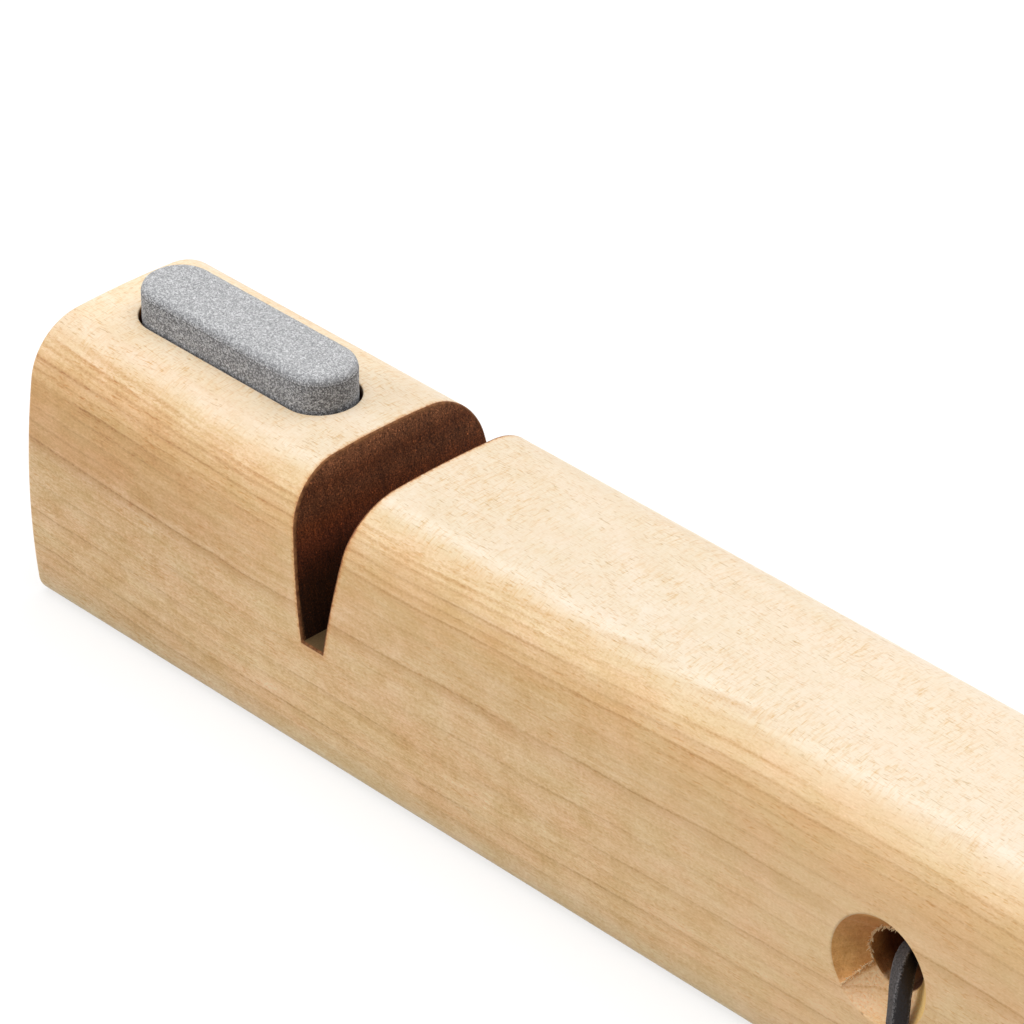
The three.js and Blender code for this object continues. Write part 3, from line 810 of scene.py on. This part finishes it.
# Outline across the block from tangent arcs, with the outward direction at each point
def blockOutline(v):
    crownCentre = Vector((0, v["height"] - v["crown"]))
    flankCentre = Vector((v["width"] / 2 - v["flank"], v["widest"]))
    crownReach, flankReach = v["crown"] - v["shoulder"], v["flank"] - v["shoulder"]
    line = flankCentre - crownCentre
    lineLength = line.length
    along = (crownReach ** 2 - flankReach ** 2 + lineLength ** 2) / (2 * lineLength)
    line.normalize()
    aside = Vector((line.y, -line.x)) * math.sqrt(crownReach ** 2 - along ** 2)
    shoulderCentre = crownCentre + line * along + aside
    footReach = v["flank"] - v["foot"]
    footOut = math.sqrt(footReach ** 2 - (v["widest"] - v["foot"]) ** 2)
    footCentre = Vector((flankCentre.x + footOut, v["foot"]))

    def turn(a, b):
        return math.atan2(b.y - a.y, b.x - a.x)
    footTurn, shoulderTurn = turn(flankCentre, footCentre), turn(flankCentre, shoulderCentre)
    crownTurn = turn(crownCentre, shoulderCentre)
    arcs = [(footCentre, v["foot"], -math.pi / 2, footTurn),
            (flankCentre, v["flank"], footTurn, shoulderTurn),
            (shoulderCentre, v["shoulder"], shoulderTurn, crownTurn),
            (crownCentre, v["crown"], crownTurn, math.pi / 2)]
    half = []
    for (centre, radius, low, high), steps in zip(arcs, v["steps"]):
        for i in range(steps):
            angle = low + (high - low) * i / steps
            outward = Vector((math.cos(angle), math.sin(angle)))
            half.append((centre + outward * radius, outward))
    top = (Vector((0, v["height"])), Vector((0, 1)))
    mirrored = [(Vector((-p.x, p.y)), Vector((-n.x, n.y))) for p, n in reversed(half)]
    return half + [top] + mirrored


def blockTree(inputs):
    tree, given = newTree("mapleBlock", inputs)
    height, slotX, floor = given["Height"], given["Slot X"], given["Slot Floor Height"]

    def cylinder(sides, radius, depth):
        return shape(tree, "MeshCylinder", {"Vertices": sides, "Radius": radius, "Depth": depth})

    def placed(geometry, at, turned=(0, 0, 0)):
        return shape(tree, "Transform", {"Geometry": geometry, "Translation": at, "Rotation": turned})

    # Blank: the outline swept along X, drawn in over a quarter round at both ends
    outline, point, outward = capture(shape(tree, "MeshToCurve", {"Mesh": given["Geometry"]}), "VECTOR", {
        "Point": shape(tree, "InputPosition"), "Outward": named(tree, "outward")})
    last = given["End Steps"] * 2 + 1
    rail = shape(tree, "CurvePrimitiveLine", {"Start": (0, 0, 0), "End": (1, 0, 0)})
    rail = shape(tree, "ResampleCurve", {"Curve": rail, "Count": last + 1}, mode="COUNT")
    rail, station = capture(rail, "FLOAT", {"Station": shape(tree, "InputIndex")})
    blank = shape(tree, "CurveToMesh", {"Curve": rail, "Profile Curve": outline, "Fill Caps": True})
    angle = calc("MINIMUM", station, last - station) / given["End Steps"] * (math.pi / 2)
    depth = given["End Radius"] * (1 - calc("COSINE", angle))
    inset = given["End Radius"] * (calc("SINE", angle) - 1)
    stationX = calc("SIGN", station - last * 0.5) * (given["Length"] * 0.5 - depth)
    position = vectorCalc("ADD", vectorCalc("ADD", point, scaled(outward, inset)), vector(stationX, 0.0, 0.0))
    blank = painted(shape(tree, "SetPosition", {"Geometry": blank, "Position": position}), given["Outside"])

    # V slot: a unit box drawn into a wedge whose walls run on past the top
    box = shape(tree, "MeshCube", {"Size": (1, 1, 1)})
    here = shape(tree, "InputPosition")
    rise = height + height * 0.2 - floor
    slope = (given["Slot Mouth"] - given["Slot Floor"]) / (height - floor)
    upShare = here["Z"] + 0.5
    width = upShare * rise * slope + given["Slot Floor"]
    wedge = shape(tree, "SetPosition", {"Geometry": box, "Position": vector(
        here["X"] * width + slotX, here["Y"] * height, upShare * rise + floor)})

    # Pocket: the hull of two round posts
    posts = put(tree, "GeometryNodeJoinGeometry")
    radius = given["Pocket Width"] * 0.5
    reach = given["Pocket Length"] * 0.5 - radius
    tall = (height - given["Pocket Floor"]) * 2
    post = cylinder(64, radius, tall)
    for way in (-1, 1):
        at = vector(reach * way + given["Pocket X"], 0.0, tall * 0.5 + given["Pocket Floor"])
        feed(posts.inputs[0], placed(post, at))
    cutters = [wedge, shape(tree, "ConvexHull", {"Geometry": Value(posts.outputs[0])})]

    # Cross hole, and a cone from each flank
    hole = cylinder(72, given["Bore"] * 0.5, height)
    cutters.append(placed(hole, vector(given["Hole X"], 0.0, given["Hole Height"]), (math.pi / 2, 0, 0)))
    root = given["Bore"] * 0.4
    start = given["Countersink Root"] - given["Bore"] * 0.1
    deep = given["Countersink Reach"] - start
    cone = shape(tree, "MeshCone", {
        "Vertices": 72, "Radius Bottom": root, "Radius Top": root + deep, "Depth": deep})
    for way in (-1, 1):
        at = vector(given["Hole X"], start * way, given["Hole Height"])
        cutters.append(placed(cone, at, (-way * math.pi / 2, 0, 0)))

    # Slanted bores for the two rods, open at the underside
    below = given["Rod Bore"] * -1
    middle = (given["Rod Bore Top"] + below) * 0.5
    long = (given["Rod Bore Top"] - below) / calc("COSINE", given["Rod Lean"])
    bore = cylinder(48, given["Rod Bore"] * 0.5, long)
    aside = (middle - given["Rod Crossing"]) * calc("TANGENT", given["Rod Lean"])
    for way in (-1, 1):
        at = vector(aside * way + slotX, given["Rod Spacing"] * (way / 2), middle)
        cutters.append(placed(bore, at, vector(0.0, given["Rod Lean"] * way, 0.0)))
    cut = put(tree, "GeometryNodeMeshBoolean", {"Mesh 1": blank}, operation="DIFFERENCE", solver="MANIFOLD")
    for cutter in cutters:
        feed(cut.inputs["Mesh 2"], cutter)

    # Faces that lie along the blank are the outside, and the scorched walls are the faces on the wedge
    slack = given["End Radius"] * 0.1
    fromBlank = shape(tree, "Proximity", {0: blank}, "Distance", target_element="FACES")
    facing = shape(tree, "InputNormal")
    blankFacing = shape(tree, "SampleNearestSurface", {"Mesh": blank, "Value": facing}, "Value",
                        data_type="FLOAT_VECTOR")
    alongBlank = calc("GREATER_THAN", vectorCalc("DOT_PRODUCT", facing, blankFacing), 0.9)
    outside = calc("LESS_THAN", fromBlank, slack) * alongBlank
    at = shape(tree, "InputPosition")
    aboveFloor = at["Z"] - floor
    halfSlot = (aboveFloor * slope + given["Slot Floor"]) * 0.5
    inSlot = (calc("LESS_THAN", abs(at["X"] - slotX), halfSlot + slack)
              * calc("GREATER_THAN", aboveFloor + slack, 0.0))
    body = painted(Value(cut.outputs[0]), given["Milled"])
    body = painted(body, given["Slot Walls"], inSlot)
    return closeTree(tree, painted(body, given["Outside"], outside))


def buildBlock(materials):
    outline = blockOutline(section)
    start = lineMesh("blockOutline", [[Vector((0, p.x, p.y)) * mm for p, _ in outline]], closed=True)
    storeVectors(start, "outward", [(0, n.x, n.y) for _, n in outline])
    unscaled = ("End Steps", "Rod Lean")
    inputs = {name: value if name in unscaled else value * mm for name, value in block.items()}
    inputs.update(materials)
    piece = grow("mapleBlock", start, blockTree(inputs), inputs)
    print("block cut:", len(piece.data.vertices), "vertices,", [m.name for m in piece.data.materials])
    return piece


# Breaks the edges where a cut meets the outside: wide at the slot, finer at the pocket and holes
edgeBreak = {"slot": 0.24, "other": 0.16, "steps": 3}


def breakEdges(piece, outsideWood, slotWood, edgeWood):
    mesh = piece.data
    outside, atSlot = mesh.materials.find(outsideWood.name), mesh.materials.find(slotWood.name)
    mesh.materials.append(edgeWood)
    form = bmesh.new()
    form.from_mesh(mesh)
    weight = form.edges.layers.float.new("bevel_weight_edge")
    for edge in form.edges:
        kinds = {face.material_index for face in edge.link_faces}
        if len(kinds) > 1 and outside in kinds:
            edge[weight] = 1.0 if atSlot in kinds else edgeBreak["other"] / edgeBreak["slot"]
    form.to_mesh(mesh)
    form.free()
    bevel = piece.modifiers.new("breakEdges", "BEVEL")
    bevel.limit_method, bevel.width, bevel.segments = "WEIGHT", edgeBreak["slot"] * mm, edgeBreak["steps"]
    bevel.use_clamp_overlap, bevel.harden_normals = False, True
    bevel.material = len(mesh.materials) - 1
    piece = settle(piece.name, piece)
    for polygon in piece.data.polygons:
        fromSlot = abs(polygon.center.x - block["Slot X"] * mm)
        if polygon.material_index == len(piece.data.materials) - 1 and (
                fromSlot > block["Slot Mouth"] * mm or polygon.center.z < 2 * mm):
            polygon.material_index = outside
    return piece


blockWood = {"Outside": oiledMaple(), "Slot Walls": scorchedMaple(), "Milled": drilledMaple()}
mapleBlock = buildBlock(blockWood)
faceOutwards(mapleBlock.data)
smoothShade(mapleBlock.data, 30)
mapleBlock = breakEdges(mapleBlock, blockWood["Outside"], blockWood["Slot Walls"], scorchedEdge())
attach(mapleBlock, "root")
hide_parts("block")
print("block made")


# Fibres that the cutter tore up in both countersinks: round the bore's mouth, and along the line where
# end grain turns into side grain. Angles are from X towards Z.
torn = {
    "Spacing": 0.07, "Length": 0.6, "Thickness": 0.07, "Spread": 0.12, "Wild": 0.7, "Seed": 11,
    "rim": (95, 205), "ridge": (212, 222), "ridgeOut": 2.9, "lift": 0.07, "steps": 24,
    "tones": ((0.94, 0.68, 0.38), (1.0, 0.86, 0.60)), "toneGrain": (1.4, 2, 0.6),
}


def tornTree(inputs):
    tree, given = newTree("tornFibres", inputs)

    def anyOf(low, high, seedShift, first=0, kind="FLOAT_VECTOR"):
        return outputOf(tree, "FunctionNodeRandomValue", {
            first: low, first + 1: high, "Seed": given["Seed"] + seedShift}, first // 2, data_type=kind)

    rail = shape(tree, "MeshToCurve", {"Mesh": given["Geometry"]})
    points = shape(tree, "CurveToPoints", {"Curve": rail, "Length": given["Spacing"]}, mode="LENGTH")
    around = scaled(anyOf((-1, -1, -1), (1, 1, 1), 1), given["Spread"])
    spot = shape(tree, "SetPosition", {"Geometry": points, "Offset": around})
    wild = scaled(anyOf((-1, -1, -1), (1, 1, 1), 2), given["Wild"])
    lean = vectorCalc("ADD", named(tree, "lean"), wild)
    turned = outputOf(tree, "FunctionNodeAlignRotationToVector", {"Vector": lean}, axis="Z")
    splinter = shape(tree, "MeshCone", {
        "Vertices": 5, "Radius Top": given["Thickness"] * 0.25, "Radius Bottom": given["Thickness"],
        "Depth": given["Length"]})
    size = vector(1.0, 1.0, anyOf(0.25, 1.0, 3, 2, "FLOAT"))
    grown = shape(tree, "InstanceOnPoints", {
        "Points": spot, "Instance": splinter, "Rotation": turned, "Scale": size})
    return closeTree(tree, painted(grown, given["Fibre"]))


def tornMaple():
    material, tree, shader = newMaterial("tornMaple")
    tone = noise(millimetres(tree), *torn["toneGrain"])
    finish(shader, (tone, 0.3, 0.00005), {
        "Base Color": blend(span(tone, 0.35, 0.65), *torn["tones"]),
        "Roughness": 0.85, "Specular IOR Level": 0.1})
    return material


def tornFibres(name, side):
    runs, leans = [], []
    for (low, high), reach in ((torn["rim"], 0.0), (torn["ridge"], torn["ridgeOut"])):
        run = []
        for i in range(torn["steps"] + 1):
            share = i / torn["steps"]
            turn, out = math.radians(low + (high - low) * share), torn["lift"] + reach * share
            across, up, radius = math.cos(turn), math.sin(turn), block["Bore"] / 2 + out
            run.append(Vector((block["Hole X"] + across * radius, side * (block["Countersink Root"] + out),
                               block["Hole Height"] + up * radius)) * mm)
            leans.append((-across * 0.5, side * 0.9, -up * 0.5))
        runs.append(run)
    start = lineMesh(name + ".guide", runs)
    storeVectors(start, "lean", leans)
    return grow(name, start, fibreTree, {**fibreInputs, "Seed": torn["Seed"] + (side > 0) * 7})


fibreInputs = {
    **{key: torn[key] * mm for key in ("Spacing", "Length", "Thickness", "Spread")},
    "Wild": torn["Wild"], "Seed": torn["Seed"], "Fibre": tornMaple()}
fibreTree = tornTree(fibreInputs)
for name, side in (("tornFibresFront", -1), ("tornFibresBack", 1)):
    piece = tornFibres(name, side)
    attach(piece, "root")
print("torn fibres made:", len(piece.data.polygons), "faces each side")


# Bonded stone with a rounded top edge, and grit standing out of it. The side and the lighter top have tones
# by grain, and the seam is a fine dark and light line under the rounded edge.
stone = {
    "x": -58.1, "length": 32.4, "width": 8.9, "top": 40.4, "bottom": 30.4, "edge": 1.2, "footEdge": 0.4,
    "step": 0.3, "arcSteps": 46, "lineSteps": 80,
    "Coarse Relief": 0.05, "Fine Relief": 0.08, "Coarse Grain": 1.4, "Fine Grain": 0.32,
    "side": [(0.1, (0.07, 0.072, 0.078)), (0.5, (0.24, 0.245, 0.26)), (0.85, (0.70, 0.715, 0.745))],
    "worn": [(0.1, (0.235, 0.237, 0.244)), (0.5, (0.43, 0.432, 0.442)), (0.88, (0.78, 0.78, 0.79))],
    "farSide": (0.7, 0.7, 0.7),
    "seam": [(0, 1.0), (0.3, 1.0), (0.42, 0.5), (0.54, 0.5), (0.64, 1.3), (0.78, 1.3), (0.95, 1.0)],
    "cells": 6.6, "fine": (9, 2, 0.6),
}


def gritStone():
    material, tree, shader = newMaterial("gritStone")
    place, facing = millimetres(tree), facingOf(tree)
    cells = outputOf(tree, "ShaderNodeTexVoronoi", {"Vector": place, "Scale": stone["cells"]}, "Color",
                     feature="F1")
    tone = cells["X"] * 0.55 + span(noise(place, *stone["fine"]), 0.32, 0.68) * 0.45
    sides = ramp(tone, stone["side"])
    # Painted shade: the stone's end that faces +X is darker
    sides = blend(span(facing["X"], 0.75, 1.0), sides, tint(sides, stone["farSide"]))
    # The top has lighter tones than the side
    colour = blend(span(facing["Z"], 0.0, 0.9), sides, ramp(tone, stone["worn"]))
    fromSeam = place["Z"] - (stone["top"] - stone["edge"] + 0.05)
    finish(shader, (tone, 0.5, 0.0001), {
        "Base Color": tint(colour, ramp(span(fromSeam, -0.2, 0.2), stone["seam"])), "Roughness": 0.85})
    return material


# Rings round the middle of a stadium with half its straight length as the reach: each ring gives how far
# out it lies and how high. With no reach and no line steps the form is turned round the Z axis.
def ringForm(name, reach, rings, arcSteps, lineSteps):
    around = []
    for side in (1, -1):
        for i in range(arcSteps):
            angle = math.pi * (i / arcSteps - side / 2)
            around.append((side * reach, math.cos(angle), math.sin(angle)))
        around += [(side * reach * (1 - 2 * i / lineSteps), 0.0, float(side)) for i in range(lineSteps)]
    form = bmesh.new()
    rows = [[form.verts.new((x + out * dx, out * dy, height)) for x, dx, dy in around]
            for out, height in rings]
    count = len(around)
    for low, high in zip(rows, rows[1:]):
        for i in range(count):
            form.faces.new((low[i], low[(i + 1) % count], high[(i + 1) % count], high[i]))
    bmesh.ops.remove_doubles(form, verts=form.verts, dist=1e-7)
    bmesh.ops.recalc_face_normals(form, faces=form.faces)
    return meshFrom(name, form)


# From the middle of the foot, up the side and back to the middle of the top
def stoneProfile(v):
    def steps(a, b, size):
        count = max(1, round(abs(b - a) / size))
        return [a + (b - a) * i / count for i in range(count)]
    radius, edge, foot, step = v["width"] / 2, v["edge"], v["footEdge"], v["step"]
    rings = [(r, v["bottom"]) for r in steps(0, radius - foot, 3 * step)]
    rings += [(radius - foot + foot * math.sin(a), v["bottom"] + foot * (1 - math.cos(a)))
              for a in steps(0, math.pi / 2, math.pi / 8)]
    rings += [(radius, z) for z in steps(v["bottom"] + foot, v["top"] - edge, step)]
    rings += [(radius - edge + edge * math.cos(a), v["top"] - edge + edge * math.sin(a))
              for a in steps(0, math.pi / 2, step / edge)]
    rings += [(r, v["top"]) for r in steps(radius - edge, 0, step)] + [(0, v["top"])]
    return [(out * mm, height * mm) for out, height in rings]


def gritTree(inputs):
    tree, given = newTree("gritRelief", inputs)
    place = shape(tree, "InputPosition")
    lifts = []
    for size in ("Coarse", "Fine"):
        bumps = outputOf(tree, "ShaderNodeTexNoise", {
            "Vector": place, "Scale": 1.0 / given[size + " Grain"], "Detail": 1.0}, "Fac")
        lifts.append((bumps - 0.62) * given[size + " Relief"])
    relief = scaled(shape(tree, "InputNormal"), lifts[0] + lifts[1])
    rough = shape(tree, "SetPosition", {"Geometry": given["Geometry"], "Offset": relief})
    return closeTree(tree, painted(rough, given["Stone"]))


start = ringForm("stoneForm", (stone["length"] - stone["width"]) / 2 * mm, stoneProfile(stone),
                 stone["arcSteps"], stone["lineSteps"])
start.transform(Matrix.Translation((stone["x"] * mm, 0, 0)))
gritInputs = {
    **{name: stone[name] * mm for name in ("Coarse Relief", "Fine Relief", "Coarse Grain", "Fine Grain")},
    "Stone": gritStone()}
whetstone = grow("gritWhetstone", start, gritTree(gritInputs), gritInputs)
faceOutwards(whetstone.data)
smoothShade(whetstone.data, 60)
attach(whetstone, "root")
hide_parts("whetstone")
print("whetstone made:", len(whetstone.data.polygons), "faces")


rod = {
    "diameter": 4, "lean": 20, "spacing": 5.5, "foot": 1.8, "head": 25.5, "crossing": 13.652, "slotX": -31,
    "chamfer": 0.4, "round": 0.1, "sides": 32,
    "tones": ((0.80, 0.79, 0.75), (0.90, 0.89, 0.86)), "smearTone": (0.42, 0.42, 0.42),
    "fine": (4, 2), "smear": ((0.5, 0.5, 3.5), 2, 0.6),
}


# Ground finish, with grey marks of the steel
def groundCeramic():
    material, tree, shader = newMaterial("groundCeramic")
    place = millimetres(tree)
    fine = noise(place, *rod["fine"])
    colour = blend(span(fine, 0.3, 0.7), *rod["tones"])
    colour = blend(span(noise(place, *rod["smear"]), 0.55, 0.75, 0, 0.5), colour, rod["smearTone"])
    finish(shader, (fine, 0.2, 0.00005), {"Base Color": colour, "Roughness": 0.42})
    return material


# Turned rod between two heights on its slanted axis; side is -1 for the one that leans to the stone
def ceramicRod(name, side, v, material):
    lean = math.radians(v["lean"])
    half = (v["head"] - v["foot"]) / math.cos(lean) / 2
    radius, chamfer, ease = v["diameter"] / 2, v["chamfer"], v["round"]
    end = [(0, half), (radius - chamfer - ease, half), (radius - chamfer + ease / 2, half - ease / 2),
           (radius - ease / 2, half - chamfer + ease / 2), (radius, half - chamfer - ease)]
    rings = [(out, -height) for out, height in end] + [(out, height) for out, height in reversed(end)]
    mesh = ringForm(name, 0, [(out * mm, height * mm) for out, height in rings], v["sides"], 0)
    middle = (v["head"] + v["foot"]) / 2
    at = Vector((v["slotX"] + side * (middle - v["crossing"]) * math.tan(lean),
                 side * v["spacing"] / 2, middle))
    mesh.transform(Matrix.Translation(at * mm) @ Matrix.Rotation(side * lean, 4, "Y"))
    mesh.materials.append(material)
    faceOutwards(mesh)
    smoothShade(mesh, 35)
    return addObject(name, mesh)


ceramic = groundCeramic()
for name, node, side in (("ceramicRodLeft", "rod_left", -1), ("ceramicRodRight", "rod_right", 1)):
    piece = ceramicRod(name, side, rod, ceramic)
    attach(piece, "root")
    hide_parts(node)
print("rods made")


# Floor and soft studio light, in metres and watts
studio = {
    "floor": 0.36, "floorGlow": 0.7, "floorHalf": 3, "world": 0.30, "backdrop": 1.0,
    "lamps": [
        {"name": "overhead", "at": (0.05, 0.05, 1.1), "size": 1.4, "power": 10.4},
        {"name": "frontLeft", "at": (-0.75, -0.9, 0.5), "size": 0.9, "power": 6.6},
        {"name": "behind", "at": (0.3, 1.0, 0.55), "size": 1.0, "power": 5.0},
    ],
}


# 1 for the rays that show a thing, straight, mirrored or through glass, and 0 for those that light it
def seenRays(tree):
    rays = put(tree, "ShaderNodeLightPath").outputs
    camera, glossy, clear = [
        Value(rays[name]) for name in ("Is Camera Ray", "Is Glossy Ray", "Is Transmission Ray")]
    return calc("MAXIMUM", camera, calc("MAXIMUM", glossy, clear))


def addFloor():
    half = studio["floorHalf"]
    mesh = bpy.data.meshes.new("studioFloor")
    corners = [(-half, -half, 0), (half, -half, 0), (half, half, 0), (-half, half, 0)]
    mesh.from_pydata(corners, [], [(0, 1, 2, 3)])
    material, tree, shader = newMaterial("paleFloor")
    tree.nodes.remove(shader)
    plain = outputOf(tree, "ShaderNodeBsdfDiffuse", {"Color": (studio["floor"],) * 3 + (1,)})
    glow = outputOf(tree, "ShaderNodeEmission", {
        "Color": (1, 1, 1, 1), "Strength": seenRays(tree) * studio["floorGlow"]})
    shown = outputOf(tree, "ShaderNodeAddShader", {0: plain, 1: glow})
    feed(nodeOf(tree, "OUTPUT_MATERIAL").inputs["Surface"], shown)
    mesh.materials.append(material)
    addObject("studioFloor", mesh)


def addLight():
    world = bpy.data.worlds.new("studioWorld")
    world.use_nodes = True
    scene.world = world
    background = nodeOf(world.node_tree, "BACKGROUND")
    feed(background.inputs["Color"], (1, 1, 1, 1))
    feed(background.inputs["Strength"],
         span(seenRays(world.node_tree), 0, 1, studio["world"], studio["backdrop"]))
    for lamp in studio["lamps"]:
        data = bpy.data.lights.new(lamp["name"], "AREA")
        data.shape, data.size, data.energy = "SQUARE", lamp["size"], lamp["power"]
        light = addObject(lamp["name"], data)
        light.location = lamp["at"]
        light.rotation_euler = Vector(lamp["at"]).to_track_quat("Z", "Y").to_euler()


addFloor()
addLight()
scene.view_settings.view_transform = "Standard"
print("studio set")
